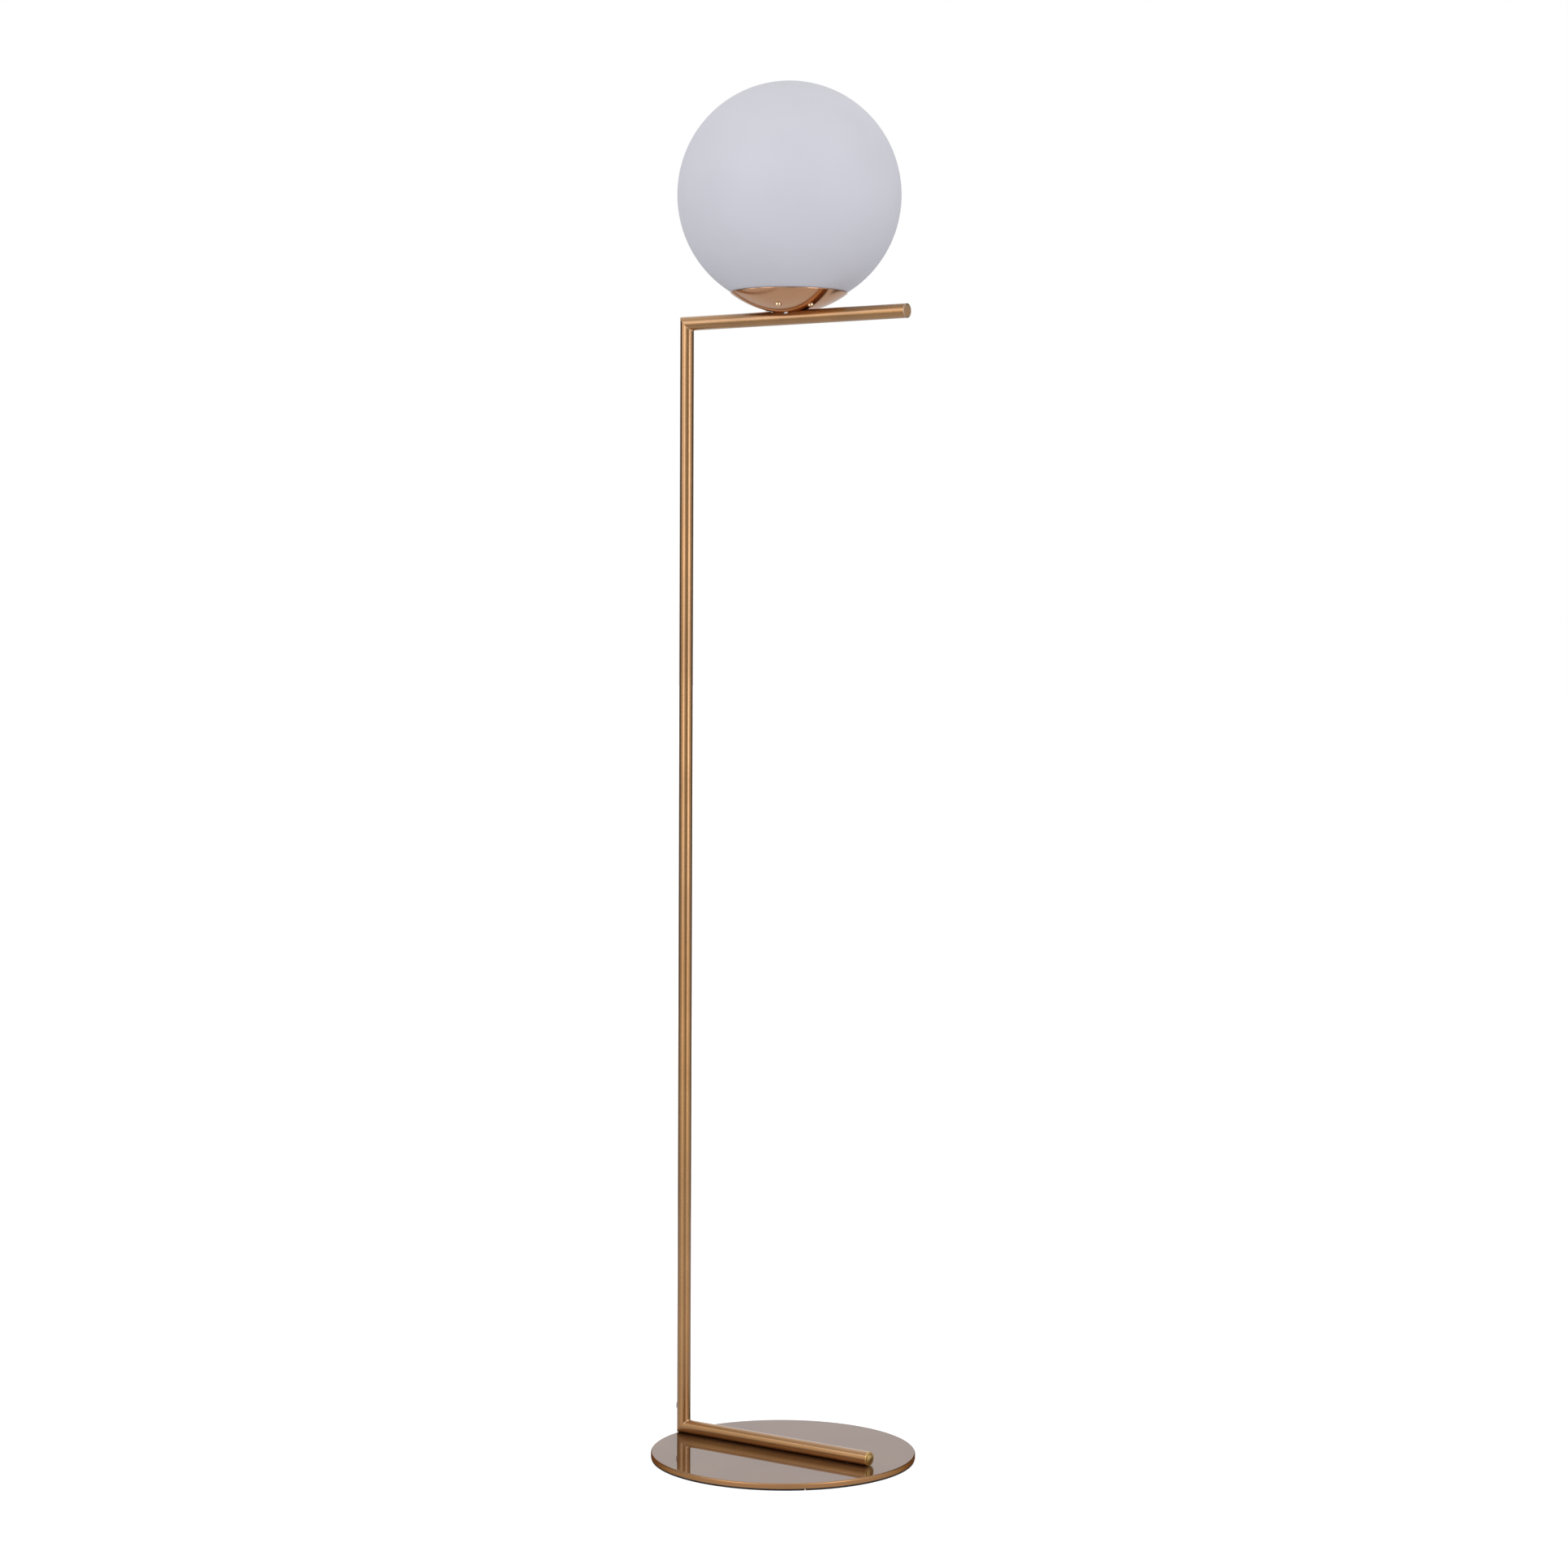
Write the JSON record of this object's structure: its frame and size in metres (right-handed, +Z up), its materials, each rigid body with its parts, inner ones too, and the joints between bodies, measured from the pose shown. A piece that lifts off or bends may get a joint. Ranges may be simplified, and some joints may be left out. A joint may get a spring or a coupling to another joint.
{
  "type": "globe floor lamp",
  "caption": "Floor lamp: round plate, cranked tube with foot, pole and arm, and an opal glass globe seated in a bowl on the arm, with lampholder and bulb inside.",
  "frame": {"origin": "on the floor under the middle of the round plate and under the middle of the globe", "axes": "+Z up; +X is the direction the arm and the foot tube point; the tubes lie in the XZ plane, with the pole at -X"},
  "size_m": [0.3109, 0.302, 1.5525],
  "materials": {
    "brushed_tube": "brushed and lacquered antique brass",
    "turned_brass": "turned, bright",
    "polished_bowl": "spun and polished",
    "plate_lacquer": "steel with glossy bronze-coloured lacquer",
    "pad_foam": "matt black foam",
    "steel": "zinc-plated",
    "nickel": "nickel-plated brass",
    "black_rubber": "matt",
    "silicone": "translucent white silicone",
    "holder_plastic": "moulded thermoplastic",
    "ceramic": "unglazed steatite",
    "black_glass": "black glass insulator",
    "bulb_glass": "frosted",
    "opal_glass": "satin opal, blown",
    "cable_sheath": "round two-core flexible cable"
  },
  "bodies": {
    "stand": {"base_pad": "pad_foam", "base_plate": "plate_lacquer", "foot_tube": "brushed_tube", "foot_end_plug": "turned_brass", "foot_blocks": "steel", "foot_screws": "steel", "heel_riser": "brushed_tube", "lower_pole": "brushed_tube", "upper_pole": "brushed_tube", "arm_riser": "brushed_tube", "lower_joint_bush": "steel", "lower_joint_stud": "steel", "middle_joint_bush": "steel", "middle_joint_stud": "steel", "upper_joint_bush": "steel", "upper_joint_stud": "steel", "inlet_grommet": "black_rubber", "arm_tube": "brushed_tube", "arm_end_plug": "turned_brass", "arm_anchor": "steel", "neck_nipple": "steel", "neck_collar": "steel", "bowl": "polished_bowl", "bowl_washer": "steel", "neck_nut": "steel", "holder_plate": "steel", "plate_spacers": "steel", "bowl_screws": "turned_brass", "bowl_screw_nuts": "steel", "globe_clips": "steel", "clip_rivets": "steel", "glass_gasket": "silicone", "holder_cap": "holder_plastic", "holder_block": "ceramic", "holder_contact": "nickel", "holder_shell": "nickel", "holder_sleeve": "holder_plastic", "lamp_cable": "cable_sheath", "cable_cores": "cable_sheath"},
    "globe": {"glass_globe": "opal_glass"},
    "bulb_tip": {"bulb_contact": "nickel", "bulb_insulator": "black_glass"},
    "bulb": {"bulb_cap": "nickel", "bulb_glass": "bulb_glass"}
  },
  "joints": [
    {"name": "globe_lift", "type": "slide", "parent": "stand", "child": "globe", "axis": [0, 0, 1], "range_m": [0, 0.18]},
    {"name": "bulb_rise", "type": "slide", "parent": "stand", "child": "bulb_tip", "axis": [0, 0, 1], "range_m": [0, 0.02541]},
    {"name": "bulb_unscrew", "type": "hinge", "parent": "bulb_tip", "child": "bulb", "pos_m": [0, 0, 1.3488], "axis": [0, 0, 1], "range_deg": [0, 2520]}
  ],
  "couplings": [
    {"joint": "bulb_rise", "follows": "bulb_unscrew", "m_per_rad": 0.00057757}
  ]
}
